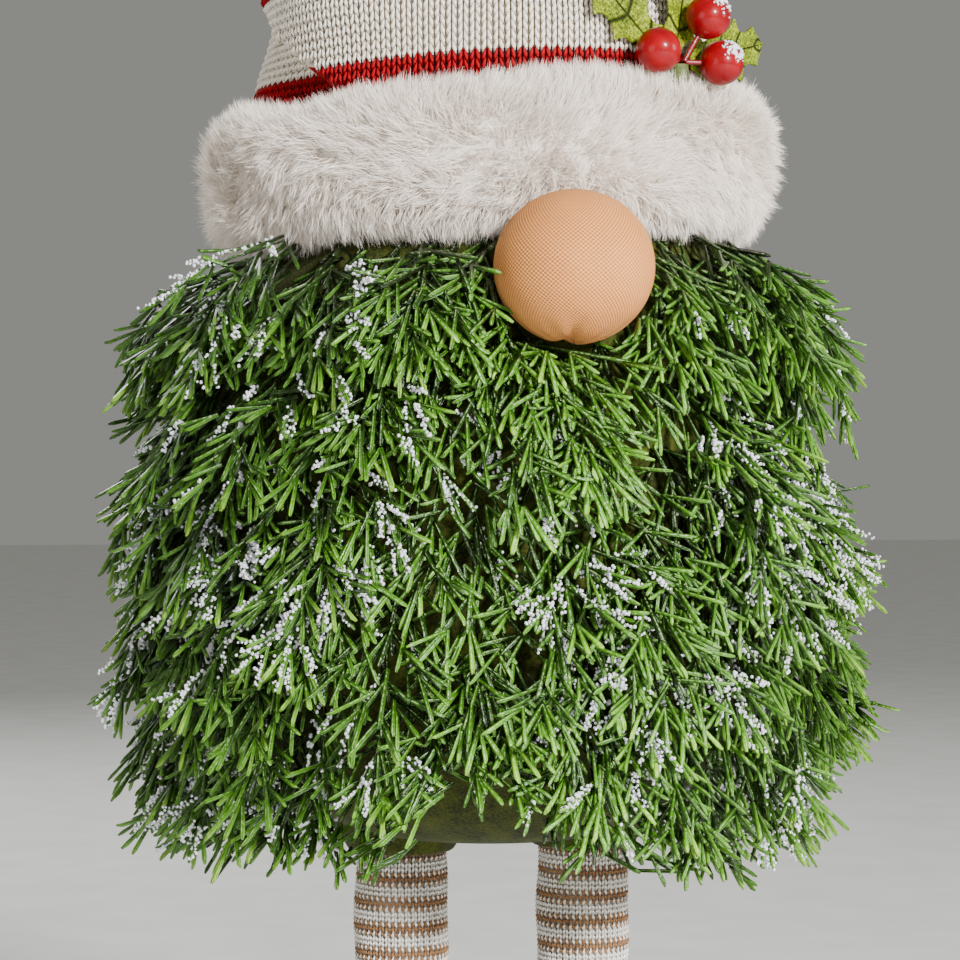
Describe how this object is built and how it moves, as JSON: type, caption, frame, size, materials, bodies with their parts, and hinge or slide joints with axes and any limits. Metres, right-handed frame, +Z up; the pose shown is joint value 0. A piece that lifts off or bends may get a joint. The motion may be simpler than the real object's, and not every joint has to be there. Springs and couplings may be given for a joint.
{
  "type": "standing gnome figurine",
  "caption": "Standing holiday gnome with weighted boots, sock legs, a felt body under a pine-spray beard, a round nose and a fur-cuffed striped knit hat with a wired tip.",
  "frame": {"origin": "on the surface the boots stand on, under the axis of the body", "axes": "+Z up, the gnome faces -Y, +X is the viewer's right when looking at its face"},
  "size_m": [0.2538, 0.2538, 0.6773],
  "materials": {
    "pine": "satin",
    "snow": "matte",
    "body_felt": "matte",
    "boot_felt": "matte",
    "roll_felt": "matte",
    "sole": "matte",
    "sock_knit": "matte",
    "hat_knit": "matte",
    "fur": "matte",
    "nose_knit": "matte",
    "berry": "gloss",
    "leaf_flock": "matte",
    "stem": "gloss",
    "tape": "matte",
    "foam": "matte",
    "fibre": "matte",
    "card": "matte",
    "band": "matte",
    "steel": "satin",
    "iron": "matte",
    "ply": "matte"
  },
  "bodies": {
    "figure": {"boot_sole_left": "sole", "boot_ballast_left": "iron", "boot_upper_left": "boot_felt", "boot_stuffing_left": "fibre", "boot_roll_left": "roll_felt", "leg_rod_left": "steel", "leg_foam_left": "foam", "leg_sock_left": "sock_knit", "boot_sole_right": "sole", "boot_ballast_right": "iron", "boot_upper_right": "boot_felt", "boot_stuffing_right": "fibre", "boot_roll_right": "roll_felt", "leg_rod_right": "steel", "leg_foam_right": "foam", "leg_sock_right": "sock_knit", "sole_screws": "steel", "hip_plate": "ply", "rod_nuts": "steel", "rod_washers": "steel", "spine_dowel": "ply", "dowel_screw": "steel", "body_core": "foam", "body_cover": "body_felt", "beard_tier_1": "pine", "beard_tier_2": "pine", "beard_tier_3": "pine", "beard_tier_4": "pine", "beard_tier_5": "pine", "beard_tier_6": "pine", "beard_tier_7": "pine", "beard_tier_8": "pine", "nose_peg": "ply", "nose_core": "foam", "nose_cover": "nose_knit", "cuff_padding": "fibre", "cuff_fur": "fur", "brim_band": "band", "hat_knit_lower": "hat_knit", "hat_liner": "card", "hat_wire_lower": "steel", "holly_leaf_1": "leaf_flock", "berry_1": "berry", "holly_leaf_2": "leaf_flock", "berry_2": "berry", "holly_leaf_3": "leaf_flock", "berry_3": "berry", "holly_stems": "stem", "pick_wire": "steel", "pick_tape": "tape"},
    "hat_middle": {"hat_knit_mid": "hat_knit", "hat_stuffing_mid": "fibre", "hat_wire_mid": "steel"},
    "hat_tip": {"hat_knit_tip": "hat_knit", "hat_stuffing_tip": "fibre", "hat_wire_tip": "steel"},
    "pompom": {"pompom": "fur", "pompom_cord": "fur"}
  },
  "joints": [
    {"name": "hat_lower_bend", "type": "hinge", "parent": "figure", "child": "hat_middle", "pos_m": [0, 0, 0.575], "axis": [0, 1, 0], "range_deg": [-15, 30]},
    {"name": "hat_upper_bend", "type": "hinge", "parent": "hat_middle", "child": "hat_tip", "pos_m": [-0.02071, 0, 0.65227], "axis": [0, 1, 0], "range_deg": [-10, 55]},
    {"name": "pompom_swing", "type": "hinge", "parent": "hat_tip", "child": "pompom", "pos_m": [-0.10071, 0, 0.65227], "axis": [0, 1, 0], "range_deg": [-20, 35]}
  ]
}
